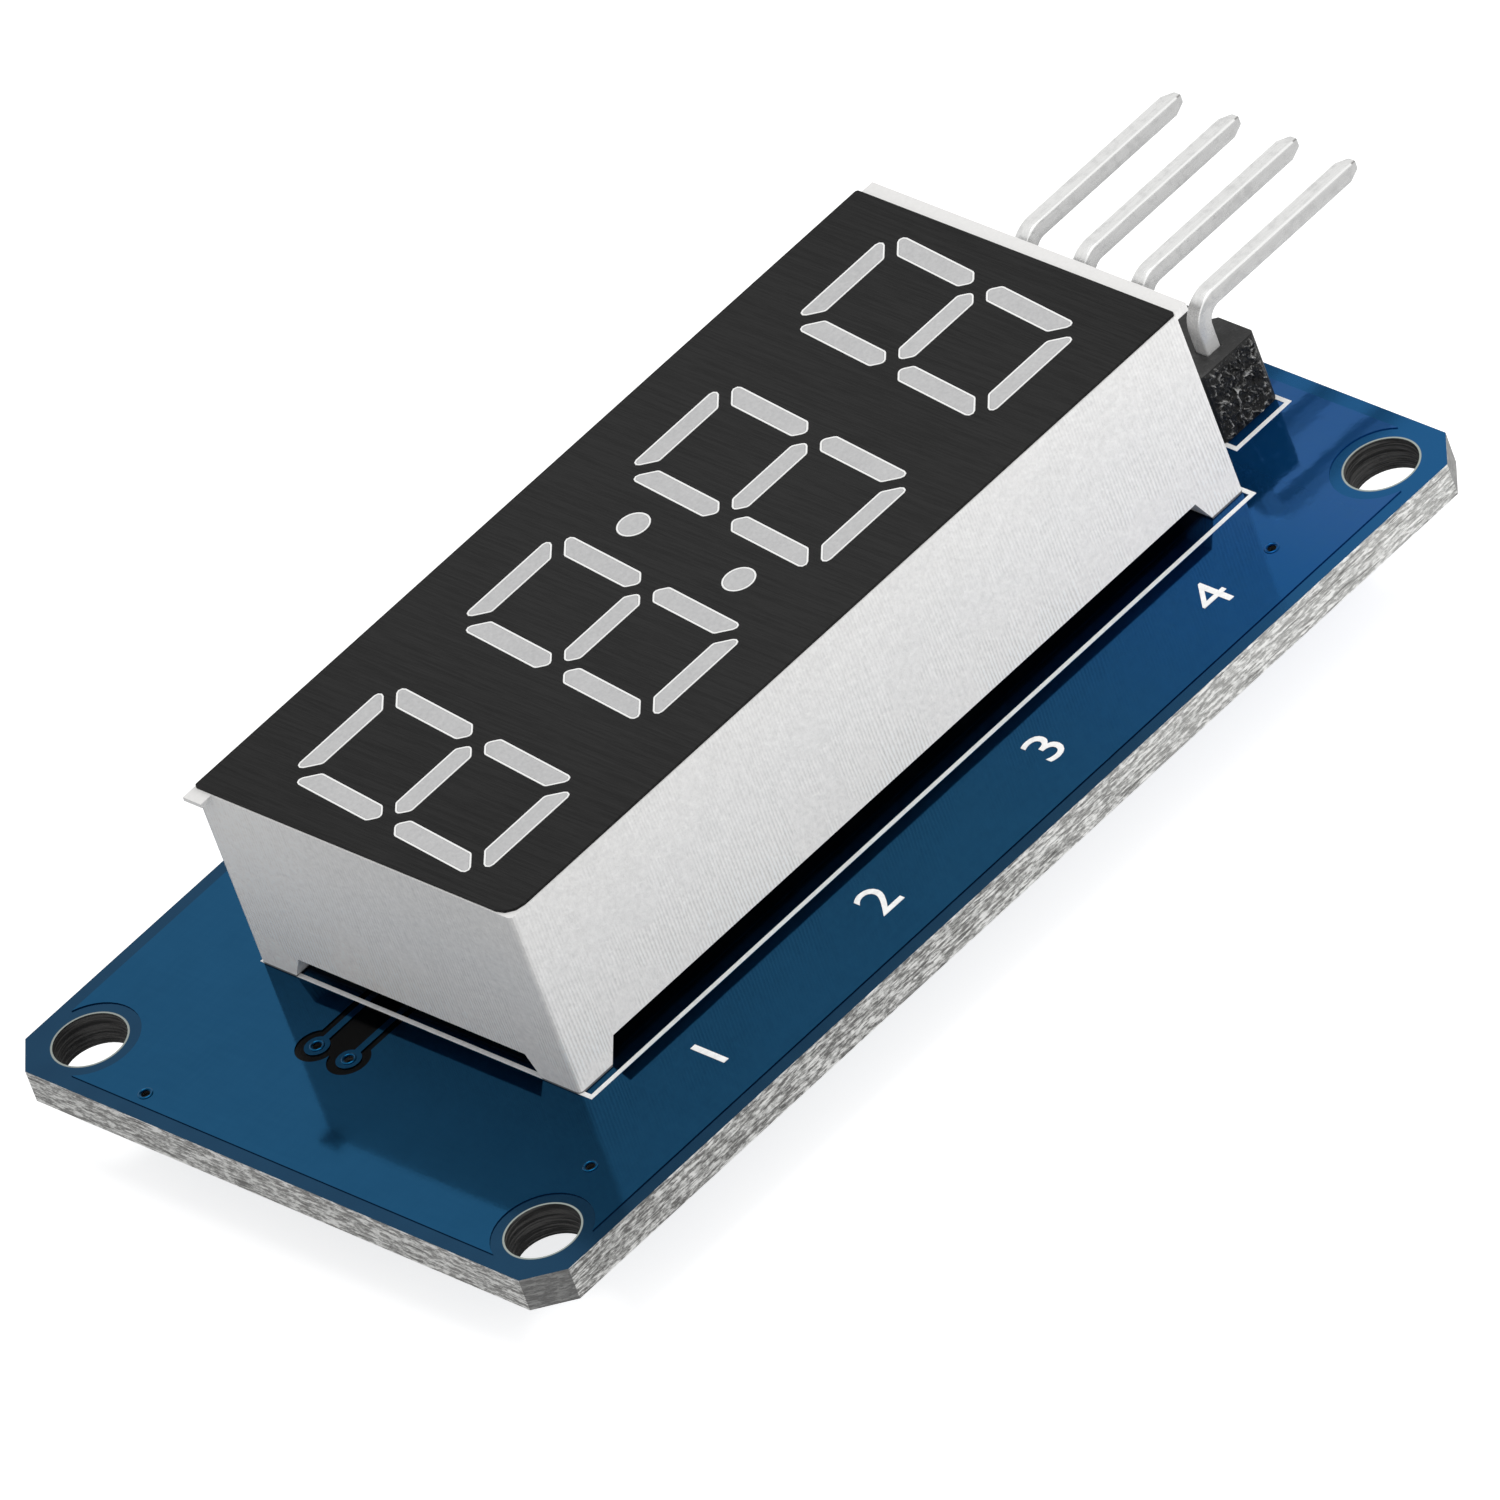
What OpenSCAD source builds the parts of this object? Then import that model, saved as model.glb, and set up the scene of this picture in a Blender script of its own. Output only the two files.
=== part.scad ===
// Four digit seven segment clock display on a small circuit board with a right angle pin header.
// Origin: centre of the four mounting holes, on the underside of the board.
// +X runs along the board towards the header, +Y towards the top of the digits, +Z out of the face.

/* [Circuit board] */
// Thickness of the board
board_t = 1.2; // [0.8:0.1:2]
// Straight cut across each corner of the board
corner_cut = 1.1; // [0.4:0.1:1.5]
// From the left edge of the board to the display
edge_left = 7.05; // [6.5:0.05:12]
// From the front edge of the board to the display
edge_front = 5.35; // [4.5:0.05:9]
// From the back edge of the board to the display
edge_back = 4.65; // [4.5:0.05:9]
// From the right edge of the board to the header block
edge_right = 1.05; // [0.8:0.05:5]
// Diameter of the mounting holes
hole_d = 2.4; // [2:0.1:3]
// From the board edges to the centre of each mounting hole
hole_inset = 2; // [1.8:0.1:3]
// Diameter of the small plated vias
via_d = 0.3; // [0.2:0.05:0.6]

/* [Display housing] */
// Length of the display
display_l = 30.1; // [29.5:0.1:40]
// Width of the display
display_w = 14; // [13:0.1:18]
// Height of the display above the board, up to the face
display_h = 7.2; // [6.5:0.1:10]
// Thickness of the side walls
wall = 1; // [0.6:0.1:1.2]
// Radius of the upright corners
corner_r = 0.15; // [0.1:0.05:0.6]
// Depth of the light wells, which is the thickness of the block behind the face
well_depth = 4; // [2:0.1:4.2]
// Height of the gap under each long wall
long_gap_h = 0.87; // [0.5:0.01:1.2]
// Height of the gap under each short wall
short_gap_h = 0.9; // [0.5:0.01:1.2]
// Length of each corner foot along the long wall, where it stands on the board
foot_l = 1.4; // [1.1:0.05:2]
// Length of each corner foot along the short wall, where it stands on the board
foot_w = 1.55; // [1.1:0.05:2]
// How far a foot widens up to the top of its gap
foot_flare = 0.45; // [0.1:0.05:0.8]
// How far the lip at the header end of the face stands out
lip_out = 0.52; // [0.1:0.01:0.7]
// Thickness of that lip
lip_t = 0.3; // [0.2:0.05:0.6]
// Width of the moulding nib at the far left corner of the face
nib_w = 0.8; // [0.4:0.1:2]
// How far that nib stands out
nib_out = 0.45; // [0.1:0.05:0.7]
// Thickness of that nib
nib_t = 0.15; // [0.1:0.05:0.4]

/* [Face] */
// Thickness of the black face film
film_t = 0.1; // [0.05:0.01:0.2]
// Width of the white rim round each segment, level with the film
rim_w = 0.06; // [0.03:0.01:0.1]
// Radius of the film's near left corner
film_corner_r = 0.65; // [0.3:0.05:1]
// Radius of the film's other corners
film_tight_r = 0.1; // [0.05:0.01:0.3]
// From the edge of the face to the film
film_edge = 0.05; // [0.02:0.01:0.2]
// From each end of the display to the nearest digit, before it is slanted
end_margin = 1.359; // [0.6:0.001:2.5]
// From each side of the display to the digits
side_margin = 2.416; // [1.2:0.001:3]
// Gap between two digits
digit_gap = 2.898; // [1.8:0.001:3.2]
// Lean of the digits to the right, in degrees
slant = 5; // [0:0.5:10]
// Width of a segment
seg_w = 0.64; // [0.5:0.01:1]
// Gap between two segments that meet at a corner
seg_gap = 0.54; // [0.2:0.01:0.7]
// Radius of the segment corners
seg_round = 0.12; // [0.05:0.01:0.15]
// Diameter of the two colon dots
dot_d = 0.98; // [0.8:0.01:1.4]
// Distance between the colon dots, along the slant
dot_span = 5.05; // [4:0.01:6]
// Shift of the digits and the colon from the middle of the display, along it
digits_x = -0.11; // [-0.3:0.01:0.3]
// Shift of the digits and the colon from the middle of the display, across it
digits_y = -0.14; // [-0.3:0.01:0.3]

/* [Inside the display] */
// Thickness of the board that carries the light emitting dies
carrier_t = 1; // [0.6:0.1:1.2]
// Thickness of the potting resin behind that board
resin_t = 0.9; // [0.5:0.1:1]
// Side of a light emitting die
die_w = 0.3; // [0.2:0.02:0.4]
// Height of a light emitting die
die_h = 0.15; // [0.1:0.01:0.25]
// Empty space between the carrier board and the milky resin of a well
die_room = 0.5; // [0.3:0.05:1]
// Diameter of the display pins
pin_d = 0.5; // [0.4:0.02:0.6]
// From each side of the display to its row of pins
pin_inset = 1.92; // [1.6:0.01:2.5]
// Distance between two display pins of a row
pin_pitch = 2.54; // [2:0.01:2.6]
// How far the display pins stand out under the board
pin_tail = 1.6; // [1:0.1:1.8]
// Diameter of the plated holes for the display pins
pin_hole_d = 0.9; // [0.7:0.05:1.2]

/* [Header] */
// Distance between two header pins
header_pitch = 2.54; // [2:0.01:2.6]
// Gap between the display and the header block
header_gap = 1.3; // [0.8:0.05:4]
// Depth of the header block, along the board
header_d = 2.5; // [2.2:0.02:3]
// Height of the header block
header_h = 2.7; // [2:0.02:3]
// Cut at the corners of each one-pin unit of the block
header_cut = 0.55; // [0.2:0.05:0.7]
// Length of the last unit that is missing where the block was snapped off a longer strip
header_break = 0.43; // [0:0.01:0.6]
// Width of a header pin
header_pin_w = 0.57; // [0.5:0.01:0.7]
// Thickness of a header pin
header_pin_t = 0.6; // [0.5:0.01:0.7]
// Height of the pins' level run above the board
header_pin_z = 4.3; // [4.1:0.02:8]
// Length of the pins' level run, from the upright to the tip
header_reach = 7.4; // [3:0.1:12]
// Radius of the pins' bend, at the middle of the pin
bend_r = 0.8; // [0.5:0.05:1]
// How far the header pins stand out under the board
header_tail = 1.9; // [1.2:0.1:2.2]
// Length of the tapered tip of a header pin
tip_l = 0.5; // [0.2:0.05:1]
// Width and thickness that a tip loses
tip_loss = 0.26; // [0.1:0.02:0.4]
// Diameter of the plated holes for the header pins
header_hole_d = 1; // [0.9:0.05:1.3]

/* [Driver chip] */
// Length of the chip's body
chip_l = 12.8; // [11.6:0.1:14]
// Width of the chip's body
chip_w = 7.5; // [5:0.1:7.6]
// Thickness of the chip's body
chip_h = 2.3; // [2.3:0.05:2.6]
// Gap between the chip's body and the board
chip_lift = 0.1; // [0.05:0.01:0.2]
// Gap between the solder of the chip's leads and the solder of the display pins
chip_gap = 1.2; // [0.2:0.05:2.5]
// Slope of the moulded sides, in degrees
chip_draft = 7; // [3:1:10]
// Bevel along the edge beside the first lead
chip_bevel = 0.5; // [0.2:0.05:0.7]
// Diameter of the dimple that marks the first lead
dimple_d = 1; // [0.6:0.1:1.4]
// Depth of that dimple
dimple_depth = 0.12; // [0.05:0.01:0.2]
// Distance between two leads
lead_pitch = 1.27; // [1:0.01:1.27]
// Width of a lead
lead_w = 0.42; // [0.3:0.01:0.5]
// Thickness of a lead
lead_t = 0.25; // [0.15:0.01:0.3]
// How far the leads stand out from the chip's body
lead_reach = 1.4; // [1.1:0.05:1.8]
// Length of a lead's foot on the board
lead_foot = 0.75; // [0.5:0.05:0.9]

/* [Chip parts] */
// Length of a chip resistor or capacitor
smd_l = 1.6; // [1.2:0.05:2]
// Width of a chip resistor or capacitor
smd_w = 0.8; // [0.6:0.05:1.2]
// Height of a chip resistor
resistor_h = 0.45; // [0.35:0.05:0.6]
// Height of a chip capacitor
capacitor_h = 0.8; // [0.5:0.05:1]
// Length of a metal end cap
cap_l = 0.35; // [0.2:0.05:0.5]
// How far the end caps stand proud of the ceramic
cap_proud = 0.03; // [0.01:0.01:0.05]
// From the header's pins to the middle of the chip parts
smd_gap = 5.6; // [3.6:0.1:6.5]
// Distance between two chip parts
smd_pitch = 2.5; // [1.8:0.1:3]

/* [Solder] */
// Height of a solder cone on a pin
solder_h = 0.9; // [0.5:0.05:1]
// Radius of a solder cone on the board
solder_r = 0.85; // [0.7:0.05:1]
// Thickness of the solder at the top of its cone
solder_lip = 0.1; // [0.05:0.01:0.15]
// Length of a solder wedge in front of a lead or an end cap
wedge_l = 0.35; // [0.2:0.05:0.5]
// Height of a solder wedge in front of a lead
lead_wedge_h = 0.2; // [0.1:0.02:0.25]

/* [Clearances] */
// Clearance of the milky resin in its well
well_fit = 0.01; // [0:0.005:0.03]
// Clearance of the face film round the rims
film_fit = 0.015; // [0:0.005:0.03]
// Clearance of the boards and the resin inside the display
inner_fit = 0.05; // [0:0.01:0.1]
// Clearance of pins in plastic, resin and solder
pin_fit = 0.01; // [0.005:0.005:0.05]

/* [Hidden] */
$fn = 48;
// Straight pieces in each rounded corner
ARC_STEPS = 3;
// Extra length by which a cut runs past a face
OVER = 1;
DIGITS = [1, 2, 3, 4];
SEGMENTS = ["a", "b", "c", "d", "e", "f", "g"];
PINS_PER_ROW = 6;
HEADER_PINS = 4;
LEADS_PER_SIDE = 10;
// Vias, from the front left corner and from the front right corner of the board
LEFT_VIAS = [[0.95, 18.45], [4.8, 2.65], [5, 14.85], [5, 13.45]];
RIGHT_VIAS = [[-6.5, 2.5]];
// Chip parts from the back of the board to the front
CHIP_PARTS = ["capacitor_1", "resistor_1", "resistor_2", "capacitor_2", "capacitor_3"];

board_l = edge_left + display_l + header_gap + header_d + edge_right;
board_w = edge_front + display_w + edge_back;
hole_x = board_l / 2 - hole_inset;
hole_y = board_w / 2 - hole_inset;
display_x = -board_l / 2 + edge_left + display_l / 2;
display_y = -board_w / 2 + edge_front + display_w / 2;
header_x = board_l / 2 - edge_right - header_d / 2;
pin_row_span = display_w - 2 * pin_inset;
pin_row_l = (PINS_PER_ROW - 1) * pin_pitch;
lead_span = chip_w + 2 * lead_reach;
chip_x = display_x - pin_row_l / 2 - solder_r - chip_gap - wedge_l - lead_span / 2;
smd_x = header_x - smd_gap;

// Heights above the board inside the display
well_floor = display_h - well_depth;
carrier_z = well_floor - carrier_t;
resin_z = carrier_z - resin_t;
plate_z = display_h - film_t;

// Pitch of the digits, and half sizes of a digit and of its segment corners
digit_pitch = (display_l - 2 * end_margin + digit_gap) / len(DIGITS);
half_w = (digit_pitch - digit_gap) / 2;
half_h = display_w / 2 - side_margin;
mid_w = half_w - seg_w / 2;
mitre = seg_gap / sqrt(2);

lead_z = -chip_lift - chip_h / 2;
chip_bottom = -chip_lift - chip_h;
header_l = HEADER_PINS * header_pitch;

SEGMENT_NODES = [for (d = DIGITS) for (s = SEGMENTS) str("segment_", d, s)];
HEADER_PIN_NODES = [for (i = [1 : HEADER_PINS]) str("header_pin_", i)];

// Outline helpers: points run anticlockwise

function unit(v) = v / norm(v);

function outward(from, to) = let (u = unit(to - from)) [u[1], -u[0]];

// Outline with its corners rounded to radius r, or to a list of radii, and its edges then moved out by grow
function rounded(points, radii, grow = 0) = [
    for (i = [0 : len(points) - 1])
        let (
            p = points[i],
            r = is_list(radii) ? radii[i] : radii,
            n_in = outward(points[(i + len(points) - 1) % len(points)], p),
            n_out = outward(p, points[(i + 1) % len(points)]),
            centre = p - r * (n_in + n_out) / (1 + n_in * n_out),
            start = atan2(n_in[1], n_in[0]),
            turn = atan2(cross(n_in, n_out), n_in * n_out)
        )
        for (k = [0 : ARC_STEPS])
            let (angle = start + turn * k / ARC_STEPS)
            centre + (r + grow) * [cos(angle), sin(angle)]
];

function flip_x(points) = [for (i = [len(points) - 1 : -1 : 0]) [-points[i][0], points[i][1]]];

function flip_y(points) = [for (i = [len(points) - 1 : -1 : 0]) [points[i][0], -points[i][1]]];

function rectangle(l, w) = [[-l / 2, -w / 2], [l / 2, -w / 2], [l / 2, w / 2], [-l / 2, w / 2]];

// Outline of a strip of thickness t that follows a path, with mitred bends
function strip_side(path, t) = [
    for (i = [0 : len(path) - 1])
        let (
            last = len(path) - 1,
            n_in = outward(path[max(i - 1, 0)], path[max(i, 1)]),
            n_out = outward(path[min(i, last - 1)], path[min(i + 1, last)])
        )
        path[i] + t / 2 * (n_in + n_out) / (1 + n_in * n_out)
];

function strip(path, t) = let (other = strip_side(path, -t), n = len(path))
    concat(strip_side(path, t), [for (i = [n - 1 : -1 : 0]) other[i]]);

// Segments of one digit, centred on the digit

function segment_top() = [
    [-half_w + mitre, half_h],
    [-half_w + seg_w + mitre, half_h - seg_w],
    [half_w - seg_w - mitre, half_h - seg_w],
    [half_w - mitre, half_h]
];

function segment_upper_left() = [
    [-half_w, half_h - mitre],
    [-half_w, seg_w / 2 + mitre],
    [-mid_w, mitre],
    [-half_w + seg_w, seg_w / 2 + mitre],
    [-half_w + seg_w, half_h - seg_w - mitre]
];

function segment_middle() = [
    [-mid_w + mitre, 0],
    [-mid_w + mitre + seg_w / 2, -seg_w / 2],
    [mid_w - mitre - seg_w / 2, -seg_w / 2],
    [mid_w - mitre, 0],
    [mid_w - mitre - seg_w / 2, seg_w / 2],
    [-mid_w + mitre + seg_w / 2, seg_w / 2]
];

function segment_points(s) =
    s == "a" ? segment_top() :
    s == "b" ? flip_x(segment_upper_left()) :
    s == "c" ? flip_x(flip_y(segment_upper_left())) :
    s == "d" ? flip_y(segment_top()) :
    s == "e" ? flip_y(segment_upper_left()) :
    s == "f" ? segment_upper_left() :
    segment_middle();

// Middle of each segment, where its die sits
function segment_centre(s) = let (points = segment_points(s), ones = [for (p = points) 1])
    ones * points / len(points);

function lean(p) = [p[0] + p[1] * tan(slant), p[1]];

function digit_centre(d) = [digits_x + (d - (len(DIGITS) + 1) / 2) * digit_pitch, digits_y];

function dot_centre(side) = [digits_x, digits_y] + lean([0, side * dot_span / 2]);

module segment_plan(d, s, grow = 0) {
    translate(digit_centre(d))
        polygon(rounded([for (p = segment_points(s)) lean(p)], seg_round, grow));
}

module dot_plan(side, grow = 0) {
    translate(dot_centre(side))
        circle(d = dot_d + 2 * grow);
}

// All windows of the face: four digits and the colon
module window_prisms(h, grow = 0) {
    for (d = DIGITS)
        for (s = SEGMENTS)
            linear_extrude(h)
                segment_plan(d, s, grow);
    for (side = [-1, 1])
        linear_extrude(h)
            dot_plan(side, grow);
}

// Places on the board

module at_display(z = 0) {
    translate([display_x, display_y, board_t + z])
        children();
}

module at_display_pins() {
    for (side = [-1, 1])
        for (i = [0 : PINS_PER_ROW - 1])
            translate([i * pin_pitch - pin_row_l / 2, side * pin_row_span / 2, 0])
                children();
}

function header_pin_y(i) = (i - (HEADER_PINS + 1) / 2) * header_pitch;

// Extrusions of a profile drawn in X and Z, or in Y and Z, centred on the third axis

module along_y(w) {
    rotate([90, 0, 0])
        linear_extrude(w, center = true)
            children();
}

module along_x(l) {
    rotate([90, 0, 90])
        linear_extrude(l, center = true)
            children();
}

// Circuit board

function from_left(points) = [for (p = points) p - [board_l / 2, 0]];

function from_right(points) = [for (p = points) p + [board_l / 2, 0]];

module circuit_board() {
    color("steelblue")
        difference() {
            linear_extrude(board_t)
                polygon([
                    [-board_l / 2 + corner_cut, -board_w / 2],
                    [board_l / 2 - corner_cut, -board_w / 2],
                    [board_l / 2, -board_w / 2 + corner_cut],
                    [board_l / 2, board_w / 2 - corner_cut],
                    [board_l / 2 - corner_cut, board_w / 2],
                    [-board_l / 2 + corner_cut, board_w / 2],
                    [-board_l / 2, board_w / 2 - corner_cut],
                    [-board_l / 2, -board_w / 2 + corner_cut]
                ]);
            for (x = [-hole_x, hole_x])
                for (y = [-hole_y, hole_y])
                    translate([x, y, -OVER])
                        cylinder(d = hole_d, h = board_t + 2 * OVER);
            for (i = [1 : HEADER_PINS])
                translate([header_x, header_pin_y(i), -OVER])
                    cylinder(d = header_hole_d, h = board_t + 2 * OVER);
            translate([display_x, display_y, -OVER])
                at_display_pins()
                    cylinder(d = pin_hole_d, h = board_t + 2 * OVER);
            for (v = concat(from_left(LEFT_VIAS), from_right(RIGHT_VIAS)))
                translate([v[0], v[1] - board_w / 2, -OVER])
                    cylinder(d = via_d, h = board_t + 2 * OVER);
        }
}

// Display

// Cut under a wall of length l that leaves a flared foot at each end
module foot_gap(l, foot, h) {
    polygon([
        [-l / 2 + foot, 0],
        [l / 2 - foot, 0],
        [l / 2 - foot - foot_flare, h],
        [-l / 2 + foot + foot_flare, h]
    ]);
}

// Lip at the header end of the face and moulding nib at its far left corner
module face_lip() {
    straight_w = display_w - 2 * corner_r;
    translate([display_l / 2 - wall, -straight_w / 2, plate_z - lip_t])
        linear_extrude(lip_t)
            square([wall + lip_out, straight_w]);
    translate([-display_l / 2 - nib_out, display_w / 2 - nib_w, plate_z - nib_t])
        linear_extrude(nib_t)
            square([wall + nib_out, nib_w]);
}

module display_housing() {
    color("whitesmoke")
        at_display()
            difference() {
                union() {
                    linear_extrude(plate_z)
                        polygon(rounded(rectangle(display_l, display_w), corner_r));
                    face_lip();
                    translate([0, 0, plate_z])
                        window_prisms(film_t, rim_w);
                }
                translate([0, 0, -OVER])
                    linear_extrude(well_floor + OVER)
                        square([display_l - 2 * wall, display_w - 2 * wall], center = true);
                along_y(display_w + 2 * OVER)
                    foot_gap(display_l, foot_l, long_gap_h);
                along_x(display_l + 2 * OVER)
                    foot_gap(display_w, foot_w, short_gap_h);
                translate([0, 0, well_floor - OVER])
                    window_prisms(well_depth + 2 * OVER);
            }
}

module face_film() {
    color([0.16, 0.16, 0.16])
        at_display(plate_z)
            difference() {
                linear_extrude(film_t)
                    polygon(rounded(
                        rectangle(display_l - 2 * film_edge, display_w - 2 * film_edge),
                        [film_corner_r, film_tight_r, film_tight_r, film_tight_r]
                    ));
                translate([0, 0, -OVER])
                    window_prisms(film_t + 2 * OVER, rim_w + film_fit);
            }
}

// Milky resin from above the die up to the face
module well_fill() {
    color("lightgray")
        at_display(well_floor + die_room)
            linear_extrude(well_depth - die_room)
                children();
}

module segment(d, s) {
    well_fill()
        segment_plan(d, s, -well_fit);
}

module colon_dot(side) {
    well_fill()
        dot_plan(side, -well_fit);
}

module inner_plate(z, h) {
    at_display(z)
        difference() {
            linear_extrude(h)
                square([display_l - 2 * (wall + inner_fit), display_w - 2 * (wall + inner_fit)], center = true);
            translate([0, 0, -OVER])
                at_display_pins()
                    cylinder(d = pin_d + 2 * pin_fit, h = h + 2 * OVER);
        }
}

module carrier_board() {
    color("darkkhaki")
        inner_plate(carrier_z, carrier_t);
}

module potting_resin() {
    color("gainsboro")
        inner_plate(resin_z, resin_t);
}

module led_dies() {
    color("gold")
        at_display(well_floor) {
            for (d = DIGITS)
                for (s = SEGMENTS)
                    translate(digit_centre(d) + lean(segment_centre(s)))
                        linear_extrude(die_h)
                            square(die_w, center = true);
            for (side = [-1, 1])
                translate(dot_centre(side))
                    linear_extrude(die_h)
                        square(die_w, center = true);
        }
}

module display_pins() {
    color("silver")
        translate([display_x, display_y, -pin_tail])
            at_display_pins()
                cylinder(d = pin_d, h = pin_tail + board_t + carrier_z + carrier_t);
}

// Solder cone under the board, hollowed along a quarter circle
module solder_cone(pin_r) {
    top_r = pin_r + solder_lip;
    rotate_extrude()
        difference() {
            translate([0, -solder_h])
                square([solder_r, solder_h]);
            translate([solder_r, -solder_h])
                scale([1, solder_h / (solder_r - top_r)])
                    circle(r = solder_r - top_r);
        }
}

module display_solder() {
    color("silver")
        translate([display_x, display_y, 0])
            at_display_pins()
                difference() {
                    solder_cone(pin_d / 2);
                    translate([0, 0, -solder_h - OVER])
                        cylinder(d = pin_d + 2 * pin_fit, h = solder_h + 2 * OVER);
                }
}

// Header

// One side of the block's plan: a straight face with cut corners for each pin
function block_side() = [
    for (i = [1 : HEADER_PINS])
        let (y = header_pin_y(i))
        each [
            [header_d / 2 - header_cut, y - header_pitch / 2],
            [header_d / 2, y - header_pitch / 2 + header_cut],
            [header_d / 2, y + header_pitch / 2 - header_cut]
        ]
];

module header_block() {
    plan = concat(
        block_side(),
        [[header_d / 2 - header_cut, header_l / 2]],
        [for (p = block_side()) -p],
        [[header_cut - header_d / 2, -header_l / 2]]
    );
    color([0.1, 0.1, 0.1])
        translate([header_x, 0, board_t])
            difference() {
                linear_extrude(header_h)
                    polygon(plan);
                translate([-header_d, -header_l / 2 - OVER, -OVER])
                    cube([2 * header_d, OVER + header_break, header_h + 2 * OVER]);
                for (i = [1 : HEADER_PINS])
                    translate([0, header_pin_y(i), -OVER])
                        linear_extrude(header_h + 2 * OVER)
                            square([header_pin_t + 2 * pin_fit, header_pin_w + 2 * pin_fit], center = true);
            }
}

// Outline of the level run, seen from the side or from above, with a tapered tip
module tapered_run(l, t) {
    polygon([
        [0, -t / 2],
        [l - tip_l, -t / 2],
        [l, -(t - tip_loss) / 2],
        [l, (t - tip_loss) / 2],
        [l - tip_l, t / 2],
        [0, t / 2]
    ]);
}

module header_pin(i) {
    run_l = header_reach - bend_r;
    upright_h = header_tail + board_t + header_pin_z - bend_r;
    color("silver")
        translate([header_x, header_pin_y(i), 0]) {
            translate([0, 0, -header_tail])
                linear_extrude(upright_h)
                    square([header_pin_t, header_pin_w], center = true);
            translate([bend_r, 0, board_t + header_pin_z - bend_r])
                rotate([90, 0, 0])
                    rotate([0, 0, 90])
                        rotate_extrude(angle = 90)
                            translate([bend_r - header_pin_t / 2, -header_pin_w / 2])
                                square([header_pin_t, header_pin_w]);
            translate([bend_r, 0, board_t + header_pin_z])
                intersection() {
                    along_y(header_pin_w)
                        tapered_run(run_l, header_pin_t);
                    linear_extrude(header_pin_t, center = true)
                        tapered_run(run_l, header_pin_w);
                }
        }
}

module header_solder() {
    color("silver")
        for (i = [1 : HEADER_PINS])
            translate([header_x, header_pin_y(i), 0])
                difference() {
                    solder_cone(norm([header_pin_w, header_pin_t]) / 2);
                    translate([0, 0, -solder_h / 2])
                        cube([
                            header_pin_t + 2 * pin_fit,
                            header_pin_w + 2 * pin_fit,
                            solder_h + 2 * OVER
                        ], center = true);
                }
}

// Parts under the board

// Section of the moulded chip body: a band at the leads, and sloped sides above and below it
function body_section(w, bevel) =
    let (in = (chip_h - lead_t) / 2 * tan(chip_draft), top = w / 2 - in)
    [
        [-top, chip_bottom + bevel],
        [-top + bevel, chip_bottom],
        [top, chip_bottom],
        [w / 2, lead_z - lead_t / 2],
        [w / 2, lead_z + lead_t / 2],
        [top, -chip_lift],
        [-top, -chip_lift],
        [-w / 2, lead_z + lead_t / 2],
        [-w / 2, lead_z - lead_t / 2]
    ];

module driver_chip() {
    dimple_x = -chip_w / 2 + chip_bevel + dimple_d;
    dimple_y = chip_l / 2 - dimple_d - chip_bevel;
    color([0.12, 0.12, 0.13])
        translate([chip_x, 0, 0])
            difference() {
                intersection() {
                    along_y(chip_l)
                        polygon(body_section(chip_w, chip_bevel));
                    along_x(chip_w)
                        polygon(body_section(chip_l, 0));
                }
                translate([dimple_x, dimple_y, chip_bottom - OVER])
                    cylinder(d = dimple_d, h = OVER + dimple_depth);
            }
}

// Children at each lead of the right-hand side, then the same for the left-hand side
module at_leads() {
    for (turn = [0, 180])
        for (i = [0 : LEADS_PER_SIDE - 1])
            translate([chip_x, 0, 0])
                rotate([0, 0, turn])
                    translate([0, (i - (LEADS_PER_SIDE - 1) / 2) * lead_pitch, 0])
                        children();
}

module chip_leads() {
    tip = lead_span / 2;
    path = [
        [chip_w / 2, lead_z],
        [chip_w / 2 + (lead_reach - lead_foot) / 2, lead_z],
        [tip - lead_foot, -lead_t / 2],
        [tip, -lead_t / 2]
    ];
    color("silver")
        at_leads()
            along_y(lead_w)
                polygon(strip(path, lead_t));
}

// Solder that slopes down from x to the board
module solder_wedge(x, w, h) {
    along_y(w)
        polygon([[x, -h], [x + wedge_l, 0], [x, 0]]);
}

module chip_solder() {
    color("silver")
        at_leads()
            solder_wedge(lead_span / 2, lead_w, lead_wedge_h);
}

function chip_part_y(i) = ((len(CHIP_PARTS) - 1) / 2 - i) * smd_pitch;

function chip_part_h(i) = CHIP_PARTS[i][0] == "r" ? resistor_h : capacitor_h;

module chip_part(i) {
    h = chip_part_h(i);
    color(CHIP_PARTS[i][0] == "r" ? "dimgray" : "tan")
        translate([smd_x, chip_part_y(i), -h]) {
            translate([-smd_l / 2 + cap_l, -smd_w / 2 + cap_proud, cap_proud])
                cube([smd_l - 2 * cap_l, smd_w - 2 * cap_proud, h - 2 * cap_proud]);
            for (x = [-smd_l / 2, smd_l / 2 - cap_l])
                translate([x, -smd_w / 2, 0])
                    cube([cap_l, smd_w, h]);
        }
}

module chip_part_solder() {
    color("silver")
        for (i = [0 : len(CHIP_PARTS) - 1])
            translate([smd_x, chip_part_y(i), 0])
                for (turn = [0, 180])
                    rotate([0, 0, turn])
                        solder_wedge(smd_l / 2, smd_w, chip_part_h(i) / 2);
}

circuit_board();
display_housing();
face_film();
for (d = DIGITS)
    for (s = SEGMENTS)
        segment(d, s);
colon_dot(1);  // colon_upper
colon_dot(-1);  // colon_lower
carrier_board();
led_dies();
potting_resin();
display_pins();
display_solder();
header_block();
for (i = [1 : HEADER_PINS])
    header_pin(i);
header_solder();
driver_chip();
chip_leads();
chip_solder();
for (i = [0 : len(CHIP_PARTS) - 1])
    chip_part(i);
chip_part_solder();
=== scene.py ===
"""Looks of a four digit clock display module.

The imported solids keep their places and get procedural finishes. Copies with rounded edges stand for the
moulded and drawn pieces, and the copper relief, the pads, the print and the header's broken end are added.
"""

import math

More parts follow.
